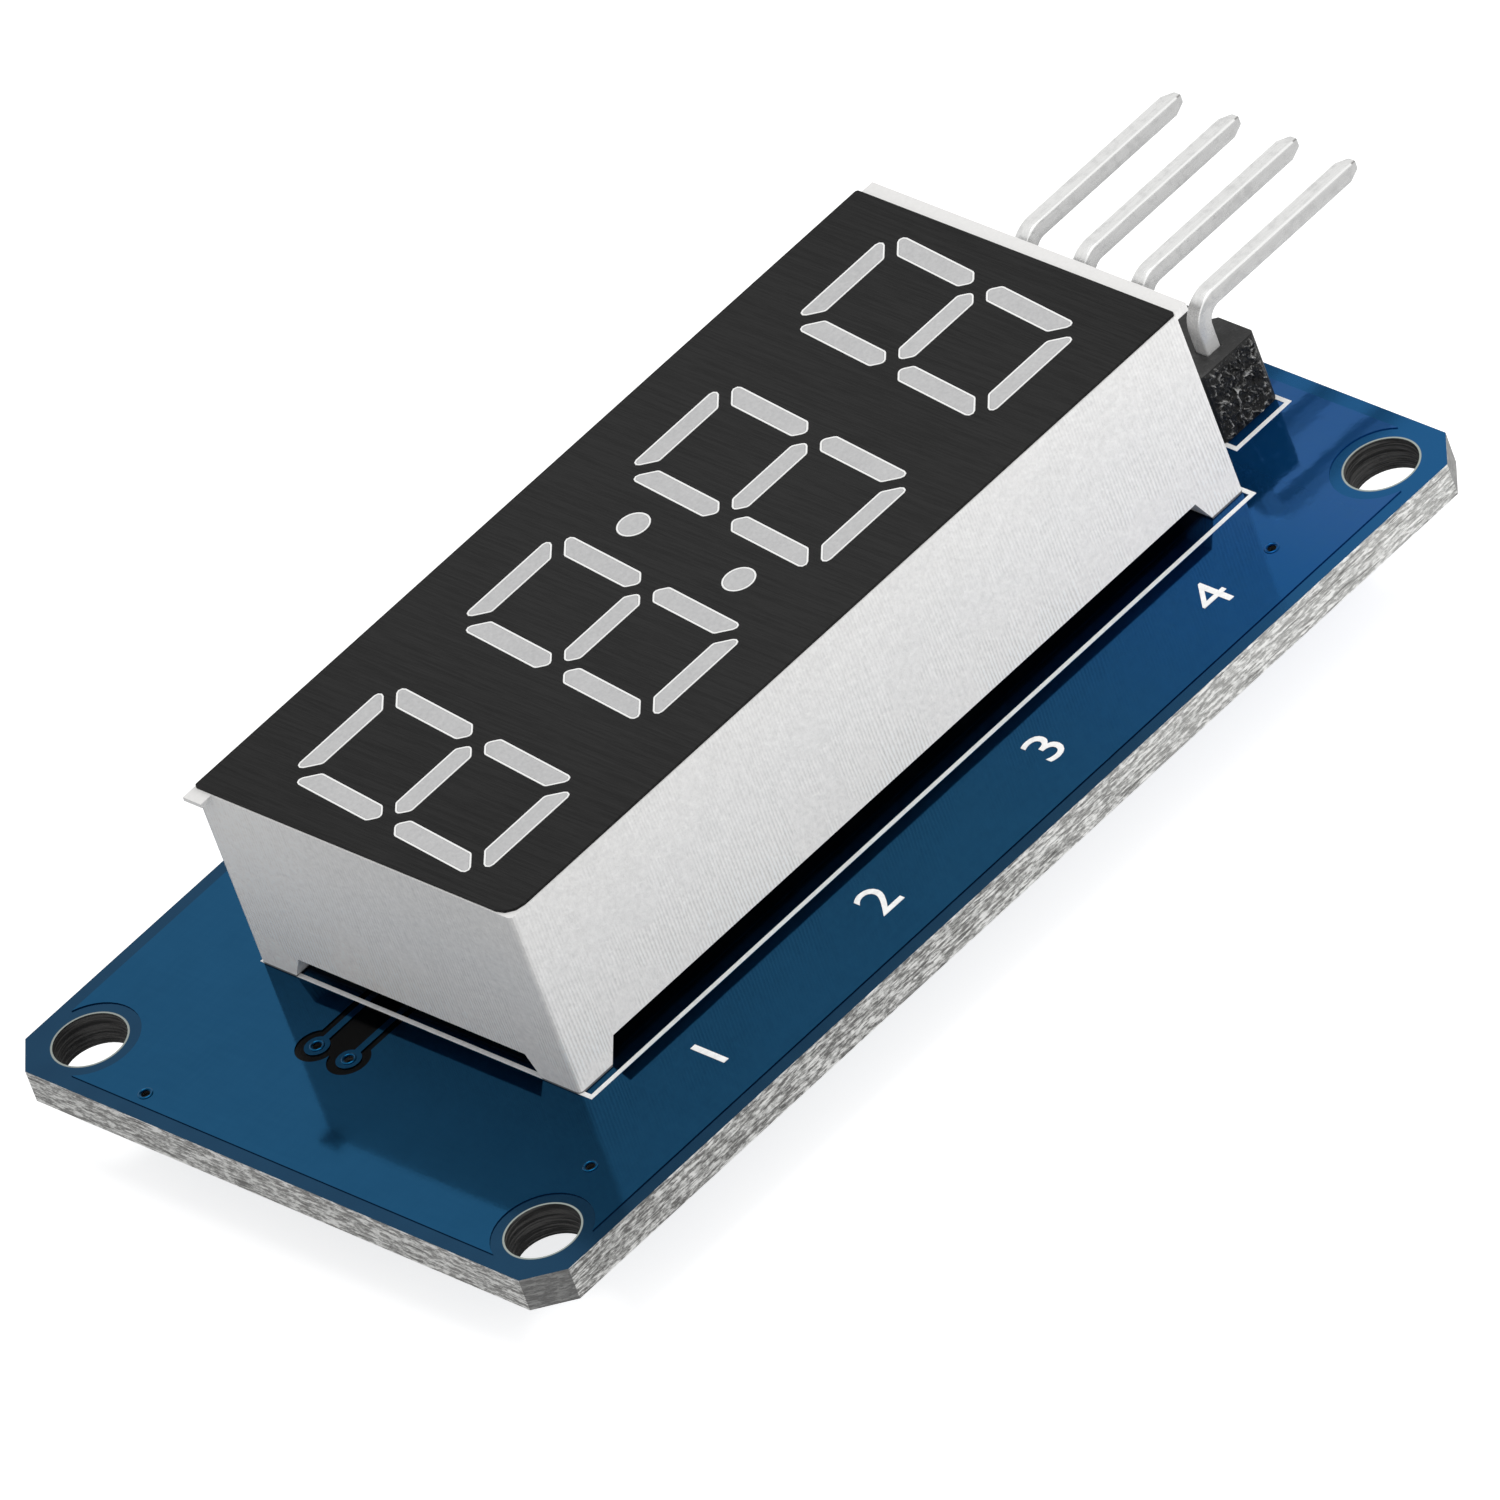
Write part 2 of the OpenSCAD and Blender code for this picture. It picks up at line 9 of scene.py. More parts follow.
import bmesh
import bpy
from mathutils import Matrix, Quaternion, Vector, noise


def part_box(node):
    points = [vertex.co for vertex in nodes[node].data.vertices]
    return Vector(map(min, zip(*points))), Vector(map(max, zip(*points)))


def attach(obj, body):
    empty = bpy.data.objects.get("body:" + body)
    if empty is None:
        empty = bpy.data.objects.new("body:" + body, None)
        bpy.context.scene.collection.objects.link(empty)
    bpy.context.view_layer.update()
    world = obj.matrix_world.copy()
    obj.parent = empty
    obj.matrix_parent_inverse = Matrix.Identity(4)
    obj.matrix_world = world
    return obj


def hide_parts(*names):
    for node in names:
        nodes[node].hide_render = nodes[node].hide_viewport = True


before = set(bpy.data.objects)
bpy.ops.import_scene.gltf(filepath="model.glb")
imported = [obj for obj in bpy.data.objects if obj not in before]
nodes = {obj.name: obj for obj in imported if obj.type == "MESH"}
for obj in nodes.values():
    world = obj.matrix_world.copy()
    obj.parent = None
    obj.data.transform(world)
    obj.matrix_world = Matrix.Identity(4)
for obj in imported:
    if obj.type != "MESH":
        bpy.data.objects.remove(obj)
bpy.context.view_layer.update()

# Sizes in millimetres; the finished meshes are in metres

MM = 0.001
UP = Vector((0, 0, 1))

# Copper, holes and vias
COPPER_T = 0.035
COPPER_INSET = 0.5
HOLE_R = 1.2
HOLE_INSET = 2.0
HOLE_CLEAR_R = 1.65
CORNER_CUT = 1.1
VIA_R = 0.15
VIA_PAD_R = 0.42
VIA_CLEAR_R = 0.72
VIA_RING_R = 0.21
VIA_BEAD_R = 0.04
VIA_STEPS = 32
RING_STEPS = 28
BEAD_STEPS = 6
TRACK_HALF_W = 0.125
TRACK_CLEAR = 0.375
TRACK_RUN = 1.5

# Print
PRINT_T = 0.02
PRINT_W = 0.16
DISPLAY_PRINT_LEFT = 0.045
DISPLAY_PRINT_RIGHT = 0.12
DISPLAY_PRINT_FRONT = 0.61
DISPLAY_PRINT_BACK = 0.1
HEADER_PRINT_SIDE = 0.02
HEADER_PRINT_END = 0.14
NUMBER_H = 1.5
NUMBER_STEPS = 4
CAPITAL_SHARE = 0.7

# Chip and chip parts
LEAD_PITCH = 1.27
LEADS_PER_SIDE = 10
LEAD_PAD = (1.5, 0.6)
LEAD_PAD_BACK = 0.25
PART_PAD = (1.0, 1.0)
PART_PAD_OUT = 0.05
PAD_PROUD = 0.01
PAD_CORNER = 0.12
CAP_L = 0.35

# Header
HEADER_CUT = 0.55
HEADER_BREAK = 0.43
HEADER_END_X = 15.5
TORN_MARGIN = 0.03
TORN_STEPS_X = 64
TORN_STEPS_Z = 76
TORN_FADE = 8
TORN_PROUD = 0.012
TORN_SWELL = 0.06
TORN_DEPTH = 0.1
TEAR_SLANT = Matrix(((1.6, 0, 0.9), (0, 1, 0), (-0.5, 0, 1.3)))
TEAR_SCALE = 1.7
TEAR_ROUGHNESS = 0.7
TEAR_LACUNARITY = 2.2
TEAR_OCTAVES = 5
CREST_H = 0.1
CREST_SCALE = 2.1
CREST_SHARPNESS = 9
CREST_OFFSET = Vector((3, 1, 7))
PIN_SHEAR = 0.23

# Housing
HATCH_PITCH = 0.13
SKIN_DEPTH = 0.35
WALL_DRAFT = 0.1
GAP_LIFT = 0.08
GAP_TOP_MIN = 0.1
GAP_TOP_MAX = 1.5
FOOT_SHADOW_LINE = 0.1

# Rounded copies
HOUSING_ROUND = 0.05
HEADER_ROUND = 0.06
CHIP_ROUND = 0.06
PIN_ROUND = 0.075
PART_ROUND = 0.014
ROUND_STEPS = 3
WELD_GAP = 0.0005
FLAT_ANGLE = math.radians(1)
SHARP_ANGLE = math.radians(35)
SMOOTH_ANGLE = math.radians(20)
HOUSING_SMOOTH_ANGLE = math.radians(5)


def box_mm(node):
    """Lowest and highest corner of a node, in millimetres."""
    low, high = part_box(node)
    return low / MM, high / MM


BOARD_LO, BOARD_HI = box_mm("circuit_board")
HOUSING_LO, HOUSING_HI = box_mm("display_housing")
FILM_LO, FILM_HI = box_mm("face_film")
BLOCK_LO, BLOCK_HI = box_mm("header_block")
CHIP_LO, _ = box_mm("driver_chip")
LEADS_LO, LEADS_HI = box_mm("chip_leads")
PART_LO, PART_HI = box_mm("resistor_1")
_, PIN_HI = box_mm("header_pin_1")
BOARD_TOP = BOARD_HI.z
PRINT_Z = BOARD_TOP + COPPER_T
FLOOR_Z = CHIP_LO.z
HOLE_X = BOARD_HI.x - HOLE_INSET
HOLE_Y = BOARD_HI.y - HOLE_INSET
NUMBER_Y = (HOUSING_LO.y + BOARD_LO.y) / 2
TRACK_END = FILM_LO.x + TRACK_RUN
CHIP_PARTS = ["capacitor_1", "resistor_1", "resistor_2", "capacitor_2", "capacitor_3"]
HEADER_PINS = [f"header_pin_{i}" for i in range(1, 5)]
SEGMENTS = [f"segment_{digit}{letter}" for digit in "1234" for letter in "abcdefg"]
PLAIN_VIAS = [(-20.05, 6.45), (-16.2, -9.35), (14.5, -9.5)]
PAD_VIAS = [(-16, 2.85), (-16, 1.45)]


# Shader maths


class Socket:
    """An output in a node tree. Arithmetic on it adds Math nodes."""

    def __init__(self, tree, output):
        self.tree = tree
        self.output = output

    def math(self, operation, *others):
        return self.tree.math(operation, self, *others)

    def __add__(self, other):
        return self.tree.math("ADD", self, other)

    def __radd__(self, other):
        return self.tree.math("ADD", other, self)

    def __sub__(self, other):
        return self.tree.math("SUBTRACT", self, other)

    def __rsub__(self, other):
        return self.tree.math("SUBTRACT", other, self)

    def __mul__(self, other):
        return self.tree.math("MULTIPLY", self, other)

    def __rmul__(self, other):
        return self.tree.math("MULTIPLY", other, self)

    def __abs__(self):
        return self.tree.math("ABSOLUTE", self)

    def above(self, edge, soft):
        """0 below the edge and 1 above it, with a soft step of that width."""
        return self.tree.ramp(self, edge - soft / 2, edge + soft / 2)

    def below(self, edge, soft):
        return 1 - self.above(edge, soft)


class NodeTree:
    """A node tree, and the ways in which nodes are added to it."""

    def __init__(self, tree):
        self.tree = tree

    def feed(self, socket, value):
        if isinstance(value, Socket):
            self.tree.links.new(value.output, socket)
        elif socket.type == "RGBA":
            socket.default_value = (*value, 1)
        else:
            socket.default_value = value

    def node(self, kind, settings=None, sockets=None, output=0):
        """Any node: its settings are set first, then the values or links of its sockets."""
        made = self.tree.nodes.new(kind)
        for key, value in (settings or {}).items():
            setattr(made, key, value)
        for key, value in (sockets or {}).items():
            self.feed(made.inputs[key], value)
        return Socket(self, made.outputs[output])

    def math(self, operation, *values):
        return self.node("ShaderNodeMath", {"operation": operation}, dict(enumerate(values)))

    def ramp(self, value, low, high):
        settings = {"clamp": True, "interpolation_type": "SMOOTHSTEP"}
        return self.node("ShaderNodeMapRange", settings, {"Value": value, 1: low, 2: high})

    def ray(self, kind):
        return self.node("ShaderNodeLightPath", output=f"Is {kind} Ray")

    def seen(self):
        """1 for camera, glossy and transmission rays, which see the white background."""
        direct_or_glossy = self.ray("Camera").math("MAXIMUM", self.ray("Glossy"))
        return direct_or_glossy.math("MAXIMUM", self.ray("Transmission"))


class Finish(NodeTree):
    """A procedural material with one Principled shader, on coordinates in millimetres."""

    def __init__(self, name, **constants):
        self.material = bpy.data.materials.new(name)
        self.material.use_nodes = True
        super().__init__(self.material.node_tree)
        self.shader = self.tree.nodes["Principled BSDF"]
        self.set(**constants)
        at = self.node("ShaderNodeTexCoord", output="Object")
        self.place = self.vector("SCALE", at, Scale=1 / MM)
        self.x, self.y, self.z = self.split(self.place)
        self.nx, self.ny, self.nz = self.split(self.node("ShaderNodeNewGeometry", output="Normal"))

    def split(self, vector):
        parts = self.node("ShaderNodeSeparateXYZ", {}, {"Vector": vector})
        return [Socket(self, output) for output in parts.output.node.outputs]

    def vector(self, operation, *values, **named):
        sockets = {**dict(enumerate(values)), **named}
        return self.node("ShaderNodeVectorMath", {"operation": operation}, sockets)

    def mix(self, factor, first, second):
        """Blend of two colours."""
        settings = {"data_type": "RGBA"}
        return self.node("ShaderNodeMix", settings, {0: factor, 6: first, 7: second}, output=2)

    def stretched(self, x, y, z):
        """Coordinates multiplied along each axis."""
        return self.vector("MULTIPLY", self.place, (x, y, z))

    def grain(self, scale, at=None, detail=2.0, rough=0.5):
        """Noise from 0 to 1 with that many features to a millimetre."""
        where = self.place if at is None else at
        sockets = {"Vector": where, "Scale": scale, "Detail": detail, "Roughness": rough}
        return self.node("ShaderNodeTexNoise", {}, sockets)

    def specks(self, scale):
        """Distance to the nearest of many scattered points, in cells."""
        return self.node("ShaderNodeTexVoronoi", {}, {"Vector": self.place, "Scale": scale})

    def bump(self, height, depth_mm):
        return self.node("ShaderNodeBump", {}, {"Distance": depth_mm * MM, "Height": height})

    def set(self, **sockets):
        for key, value in sockets.items():
            self.feed(self.shader.inputs[key.replace("_", " ")], value)
        return self


# Finishes


def outer_edge_distance(f):
    """How far a point of the board lies inside its outline."""
    to_side = BOARD_HI.x - abs(f.x)
    to_front = BOARD_HI.y - abs(f.y)
    to_corner = (to_side + to_front - CORNER_CUT) * math.sqrt(0.5)
    return to_side.math("MINIMUM", to_front).math("MINIMUM", to_corner)


def hole_distance(f):
    """Distance to the middle of the nearest mounting hole."""
    dx = abs(f.x) - HOLE_X
    dy = abs(f.y) - HOLE_Y
    return (dx * dx + dy * dy).math("SQRT")


def pad_distance(f):
    """Distance to the middle of the two pads and their tracks, along the board and across it."""
    (x, y_far), (_, y_near) = PAD_VIAS
    past_end = abs(f.x - (x + TRACK_END) / 2) - (TRACK_END - x) / 2
    return past_end.math("MAXIMUM", abs(f.y - (y_far + y_near) / 2))


def painted_shade_under_display(f):
    """1 on top of the part of the board that the display covers, where shade is painted."""
    along = f.x.above(FILM_LO.x + 0.3, 0.3) * f.x.below(FILM_HI.x - 0.3, 0.3)
    across = f.y.above(FILM_LO.y + 0.2, 0.4) * f.y.below(FILM_HI.y, 0.4)
    return along * across * f.z.above(BOARD_TOP / 2, 0.1)


def cut_fibre(f, glass):
    """Colour of the sawn edges: bright glass in grey resin, dark streaks and darker cut corners. Painted
    light makes the left edge paler and the front edge paler towards the header, with painted shade at its
    left end."""
    streaks = f.grain(1, f.stretched(0.9, 0.9, 13), detail=4, rough=0.6).below(0.4, 0.1)
    cut_corner = abs(f.nx * f.ny).above(0.3, 0.1)
    left = f.nx.below(-0.8, 0.2)
    front = f.ny.below(-0.5, 0.2)
    # painted light: the left edge gets the paler resin
    resin = f.mix(left, (0.13, 0.128, 0.124), (0.28, 0.276, 0.27))
    fibre = f.mix(glass, resin, (0.98, 0.98, 0.96))
    # painted shade on the left part of the front edge, painted light towards the header
    fibre = f.mix(front * f.x.below(0, 30) * 0.25, fibre, (0.2, 0.2, 0.195))
    fibre = f.mix(front * f.x.above(4, 26) * 0.45, fibre, (0.8, 0.8, 0.78))
    fibre = f.mix(streaks * 0.7, fibre, (0.1, 0.1, 0.095))
    return f.mix(cut_corner * 0.75, fibre, (0.2, 0.2, 0.2))


def shaded_drilled_bore(f):
    """Colour inside the holes: dark, partly the plating's own colour and partly painted shade, with faint
    rings from the drill.
    """
    rings = f.grain(1, f.stretched(0.5, 0.5, 15), detail=3, rough=0.6).above(0.52, 0.2)
    return f.mix(rings, (0.004, 0.004, 0.004), (0.1, 0.098, 0.095))


def bare_mask(f, near_pads):
    """Colour of the mask on bare laminate: painted light makes it brighter towards the header, and it is
    black round the two pads.
    """
    cloudy = f.grain(0.7, detail=3)
    mask = f.mix(cloudy, (0.002, 0.036, 0.085), (0.005, 0.05, 0.11))
    # painted light: brighter blue towards the header end
    mask = f.mix(f.x.above(12, 18), mask, (0.003, 0.085, 0.23))
    return f.mix(near_pads, mask, (0.004, 0.004, 0.004))


def board_finish():
    """Blue mask on bare laminate, cut glass fibre on the edges and dark drilled bores, with painted light
    and shade.
    """
    f = Finish("mask_on_laminate", Specular_IOR_Level=0.3)
    side = abs(f.nz).below(0.5, 0.1)
    bore = side * outer_edge_distance(f).above(0.06, 0.02)
    layers = f.grain(1, f.stretched(1.1, 1.1, 10), detail=5, rough=0.7)
    flecks = f.grain(1, f.stretched(3.4, 3.4, 10), detail=4, rough=0.7)
    glass = (layers * 0.6 + flecks * 0.6).above(0.585, 0.19)
    near_pads = pad_distance(f).below(1.6, 0.1)
    rim = hole_distance(f).below(HOLE_R + 0.06, 0.03)
    top = f.mix(rim, bare_mask(f, near_pads), (0.34, 0.38, 0.35))
    edge = f.mix(bore, cut_fibre(f, glass), shaded_drilled_bore(f))
    ripple = f.grain(0.5, detail=2) * 0.006 * (1 - side) + glass * 0.03 * side
    return f.set(
        Base_Color=f.mix(side, top, edge),
        Roughness=side * 0.45 + 0.14,
        Metallic=(1 - side) * (1 - rim) * (0.85 + near_pads * 0.15),
        Normal=f.bump(ripple, 1),
    )


def weave_of(f, fine, coarse):
    """Glass cloth under a skin: threads that run along the board and across it."""
    across = f.grain(1, f.stretched(fine, coarse, 1), detail=3)
    along = f.grain(1, f.stretched(coarse, fine, 1), detail=3)
    return across * 0.5 + along * 0.5


def copper_finish():
    """Blue mask over copper: the copper's own shine, tinted by the mask."""
    f = Finish("mask_over_copper", Specular_IOR_Level=0.35)
    weave = weave_of(f, 6, 0.7)
    cloudy = f.grain(0.35, detail=4, rough=0.6)
    deep = f.mix(cloudy, (0.003, 0.058, 0.135), (0.006, 0.074, 0.168))
    # painted light: the blue is painted brighter towards the header end
    deep = f.mix(f.x.above(10, 20), deep, (0.004, 0.075, 0.25))
    painted_display_shade = painted_shade_under_display(f)
    header_end = f.x.above(HEADER_END_X, 4)
    long_waves = f.grain(0.4, detail=2) * (0.004 + 0.006 * header_end)
    short_waves = f.grain(1.1, detail=3) * 0.007 * header_end
    waves = long_waves + short_waves
    woven = f.mix(weave.above(0.55, 0.5) * 0.2, deep, (0.012, 0.09, 0.19))
    return f.set(
        # painted shade: the mask is painted near black under the display
        Base_Color=f.mix(painted_display_shade * 0.85, woven, (0, 0, 0)),
        Roughness=0.05 + cloudy * 0.05 + painted_display_shade * 0.3,
        Metallic=1 - 0.35 * f.x.above(HEADER_END_X, 5),
        Normal=f.bump(waves + weave * 0.0008, 1),
    )


def print_finish():
    """White board print: chalky, with worn patches."""
    f = Finish("white_print", Specular_IOR_Level=0.25)
    patches = f.grain(5, detail=3, rough=0.6)
    return f.set(
        Base_Color=f.mix(patches.above(0.45, 0.5), (0.82, 0.82, 0.81), (0.97, 0.97, 0.96)),
        Roughness=0.55 + patches * 0.2,
        Normal=f.bump(patches, 0.01),
    )


def mould_hatch(f):
    """Fine upright lines from the cut mould, in patches and mostly in the lower half of a wall."""
    along = f.x * abs(f.ny).above(0.7, 0.1) + f.y * abs(f.nx).above(0.7, 0.1)
    drift = f.grain(0.7, f.stretched(1, 1, 0.3), detail=2)
    lines = ((along + drift * 0.3) * (2 * math.pi / HATCH_PITCH)).math("SINE")
    broken = f.grain(0.5, f.stretched(1, 1, 0.8), detail=3, rough=0.6).above(0.47, 0.16)
    return lines * broken * (f.z.below(4.2, 6) * 0.3 + 0.12)


def housing_finish():
    """White moulding. Its walls show the mould's hatch and a leathery skin. Painted light makes the lower
    walls and the left wall paler and warmer, and a painted shadow line darkens the base where the housing
    meets the board."""
    f = Finish("white_moulding", Specular_IOR_Level=0.3)
    wall = abs(f.nz).below(0.5, 0.2)
    depth = mould_hatch(f)
    marks = f.grain(1, f.stretched(9, 9, 0.7), detail=2, rough=0.6)
    grain = f.grain(8, detail=3, rough=0.6)
    leather = f.grain(4, detail=3, rough=0.6)
    patches = f.grain(0.25, detail=2)
    left = f.nx.below(-0.5, 0.2)
    # painted light: the lower walls are painted paler and warmer against the shade and blue bounce of the
    # board
    low = f.z.below(3.5, 5) * wall
    # painted light: the left wall is painted paler towards the back
    plain = f.mix(left * f.y.above(1, 12), (0.858, 0.85, 0.838), (0.985, 0.972, 0.955))
    pale = f.mix(left, (0.97, 0.937, 0.897), (0.975, 0.91, 0.84))
    rough_wall = depth * 0.3 + (marks - 0.5) * 0.08 + (leather - 0.5) * 0.25
    relief = 1 + rough_wall * wall + (grain - 0.5) * 0.12 + (patches - 0.5) * 0.04
    white = f.vector("SCALE", f.mix(low * 0.75, plain, pale), Scale=relief)
    white = f.vector("MINIMUM", white, (0.98, 0.98, 0.97))
    white = f.mix(f.z.above(FILM_HI.z - 0.05, 0.02), white, (0.97, 0.97, 0.96))
    # painted shadow: a dark line where the housing meets the board
    foot_shadow = f.z.below(BOARD_TOP + FOOT_SHADOW_LINE, 0.04)
    return f.set(
        Base_Color=f.mix(foot_shadow * 0.85, white, (0.03, 0.03, 0.03)),
        Roughness=0.42 + grain * 0.16,
        Normal=f.bump((depth * 0.012 + leather * 0.02) * wall + grain * 0.008, 1),
    )


def film_finish():
    """Black face film with a hairline brushed across the display, painted lighter in the middle as painted
    light.
    """
    f = Finish("black_hairline_film", Specular_IOR_Level=0.12)
    hair = f.grain(1, f.stretched(13, 0.4, 1), detail=5, rough=0.75)
    cloud = f.grain(0.3, detail=3)
    # painted light: the film is painted lighter in the middle of the display
    middle = f.x.above(-8, 16) * f.x.below(14, 16)
    streak = hair.above(0.5, 0.3)
    return f.set(
        Base_Color=f.mix(streak * 0.75 + cloud * 0.1 + middle * 0.25, (0, 0, 0), (0.016, 0.016, 0.016)),
        Roughness=0.42 + streak * 0.14,
        Normal=f.bump(hair, 0.012),
    )


def resin_finish():
    """Milky resin in the light wells: pale grey and grainy."""
    f = Finish("milky_resin", Specular_IOR_Level=0.3)
    grain = f.grain(7, detail=4, rough=0.65)
    cloud = f.grain(0.9, detail=2)
    tone = (grain - 0.5) * 1.1 + (cloud - 0.5) * 0.4 + 0.5
    return f.set(
        Base_Color=f.mix(tone, (0.44, 0.44, 0.445), (0.64, 0.64, 0.64)),
        Roughness=0.4 + grain * 0.2,
        Normal=f.bump(grain, 0.015),
    )


def tin_finish():
    """Tin plate: drawn streaks, dull spots, tops painted lighter than the sides as painted light, a
    painted highlight along the top edges, painted shade on the undersides, a dull root and a sheared tip."""
    f = Finish("bright_tin")
    drawn = f.grain(1, f.stretched(0.8, 16, 16), detail=3, rough=0.6)
    dull = f.grain(2.6, detail=4, rough=0.65).above(0.56, 0.25)
    fine = f.grain(11, detail=3, rough=0.6)
    # painted light: the tops are painted lighter than the sides
    face = f.mix(f.nz.above(0.8, 0.2), (0.64, 0.64, 0.635), (0.82, 0.82, 0.81))
    worn = f.mix(dull * 0.3 + drawn.above(0.5, 0.5) * 0.2 + fine * 0.1, face, (0.44, 0.44, 0.44))
    corner = abs(f.ny) * f.nz
    # painted highlight along the edges between the top and the sides
    edge_highlight = f.mix(corner.above(0.2, 0.2) * 0.9, worn, (0.95, 0.95, 0.94))
    shaded = f.mix(f.nz.below(-0.3, 0.3) * 0.6, edge_highlight, (0.3, 0.3, 0.3))
    cut = f.nx.above(0.8, 0.2).math("MAXIMUM", corner.above(0.2, 0.2) * 0.9)
    sheared = cut * f.x.above(PIN_HI.x - PIN_SHEAR, 0.06)
    root = f.z.above(BLOCK_HI.z - 0.2, 0.1) * f.z.below(PIN_HI.z - 0.45, 0.5)
    return f.set(
        Base_Color=f.mix(sheared * 0.8, shaded, (0.09, 0.085, 0.08)),
        Roughness=0.2 + dull * 0.14 + drawn * 0.06,
        Metallic=1 - root * 0.75,
        Normal=f.bump(drawn * 0.004 + dull * 0.002, 1),
    )


def solder_finish():
    """Bright solder with a slightly frosted, rippled skin."""
    f = Finish("bright_solder", Metallic=1.0)
    frost = f.grain(5, detail=4, rough=0.65)
    pool = f.grain(1.1, detail=2)
    return f.set(
        Base_Color=f.mix(frost, (0.62, 0.62, 0.63), (0.82, 0.82, 0.82)),
        Roughness=0.16 + frost * 0.2,
        Normal=f.bump(frost * 0.006 + pool * 0.03, 1),
    )


def black_plastic_finish():
    """Black header plastic with a fine moulded grain; its top faces are painted lighter as painted light.
    """
    f = Finish("black_header_plastic", Specular_IOR_Level=0.35)
    grain = f.grain(9, detail=4, rough=0.6)
    scuff = f.grain(1.6, detail=4, rough=0.7).above(0.6, 0.15)
    # painted light: the top faces are painted lighter
    up = f.nz.above(0.7, 0.3)
    return f.set(
        Base_Color=f.mix(scuff * 0.5 + up * 0.4, (0.004, 0.004, 0.004), (0.05, 0.05, 0.05)),
        Roughness=0.38 + grain * 0.25,
        Normal=f.bump(grain, 0.02),
    )


def broken_plastic_finish():
    """The same plastic where the strip was snapped: torn, with pale stressed ridges."""
    f = Finish("broken_header_plastic", Specular_IOR_Level=0.45)
    ridge = f.node("ShaderNodeAttribute", {"attribute_name": "ridge"}, output="Fac")
    torn = f.grain(5, detail=5, rough=0.7)
    flakes = f.grain(9, detail=4, rough=0.7).above(0.62, 0.08)
    pale = ridge * torn.above(0.52, 0.12) + flakes * 0.3
    return f.set(
        Base_Color=f.mix(pale, (0.003, 0.003, 0.003), (0.55, 0.55, 0.54)),
        Roughness=0.3 + torn * 0.4,
        Normal=f.bump(torn, 0.1),
    )


def chip_finish():
    """Moulded black epoxy with a fine matte skin and a few filler specks."""
    f = Finish("black_epoxy", Specular_IOR_Level=0.35)
    grain = f.grain(14, detail=3, rough=0.6)
    filler = f.specks(7).below(0.12, 0.1)
    return f.set(
        Base_Color=f.mix(filler * 0.6 + grain * 0.3, (0.016, 0.016, 0.017), (0.065, 0.065, 0.068)),
        Roughness=0.5 + grain * 0.22,
        Normal=f.bump(grain, 0.02),
    )


def chip_part_finish(name, dark, pale, face_color):
    """Ceramic body between two tinned ends; its face can have a colour of its own."""
    f = Finish(name, Specular_IOR_Level=0.4)
    middle = (PART_LO.x + PART_HI.x) / 2
    half = (PART_HI.x - PART_LO.x) / 2 - CAP_L
    end = abs(f.x - middle).above(half - 0.01, 0.02)
    grain = f.grain(12, detail=4, rough=0.6)
    frost = f.grain(6, detail=3)
    body = f.mix(f.nz.below(-0.5, 0.2), f.mix(grain, dark, pale), face_color)
    tin_end = f.mix(frost, (0.6, 0.6, 0.6), (0.82, 0.82, 0.81))
    return f.set(
        Base_Color=f.mix(end, body, tin_end),
        Roughness=0.28 + grain * 0.2,
        Metallic=end,
        Normal=f.bump(grain, 0.012),
    )


def carrier_finish():
    """Yellowish glass laminate of the board inside the display."""
    f = Finish("carrier_laminate", Specular_IOR_Level=0.4)
    weave = weave_of(f, 7, 1)
    return f.set(
        Base_Color=f.mix(weave, (0.38, 0.34, 0.14), (0.6, 0.54, 0.27)),
        Roughness=0.35 + weave * 0.2,
        Normal=f.bump(weave, 0.01),
    )


def die_finish():
    """Cut crystal of the light emitting dies, with a darker sawn side."""
    f = Finish("die_crystal", Specular_IOR_Level=0.5)
    sawn = f.grain(20, detail=3)
    top = f.nz.above(0.5, 0.2)
    return f.set(
        Base_Color=f.mix(top, f.mix(sawn, (0.3, 0.25, 0.1), (0.45, 0.37, 0.14)), (0.72, 0.6, 0.22)),
        Roughness=0.2 + sawn * 0.25,
    )


def potting_finish():
    """Clear potting resin: pale, with small trapped bubbles."""
    f = Finish("potting_resin", Specular_IOR_Level=0.5)
    bubbles = f.specks(1.6).below(0.16, 0.08)
    cloud = f.grain(0.6, detail=3)
    return f.set(
        Base_Color=f.mix(bubbles * 0.6 + cloud * 0.4, (0.66, 0.66, 0.6), (0.85, 0.85, 0.81)),
        Roughness=0.18 + bubbles * 0.3,
        Normal=f.bump(bubbles, 0.02),
    )


# Mesh making


def make_piece(name, bm, finish, stands_for=()):
    """Turn a bmesh drawn in millimetres into a piece that rides on the module."""
    bmesh.ops.scale(bm, vec=(MM, MM, MM), verts=bm.verts)
    mesh = bpy.data.meshes.new(name)
    bm.to_mesh(mesh)
    bm.free()
    mesh.materials.append(finish.material)
    piece = bpy.data.objects.new(name, mesh)
    bpy.context.scene.collection.objects.link(piece)
    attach(piece, "root")
    if stands_for:
        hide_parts(*stands_for)
    return piece


def dress(names, finish):
    """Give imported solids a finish."""
    for name in names:
        mesh = nodes[name].data
        mesh.materials.clear()
        mesh.materials.append(finish.material)


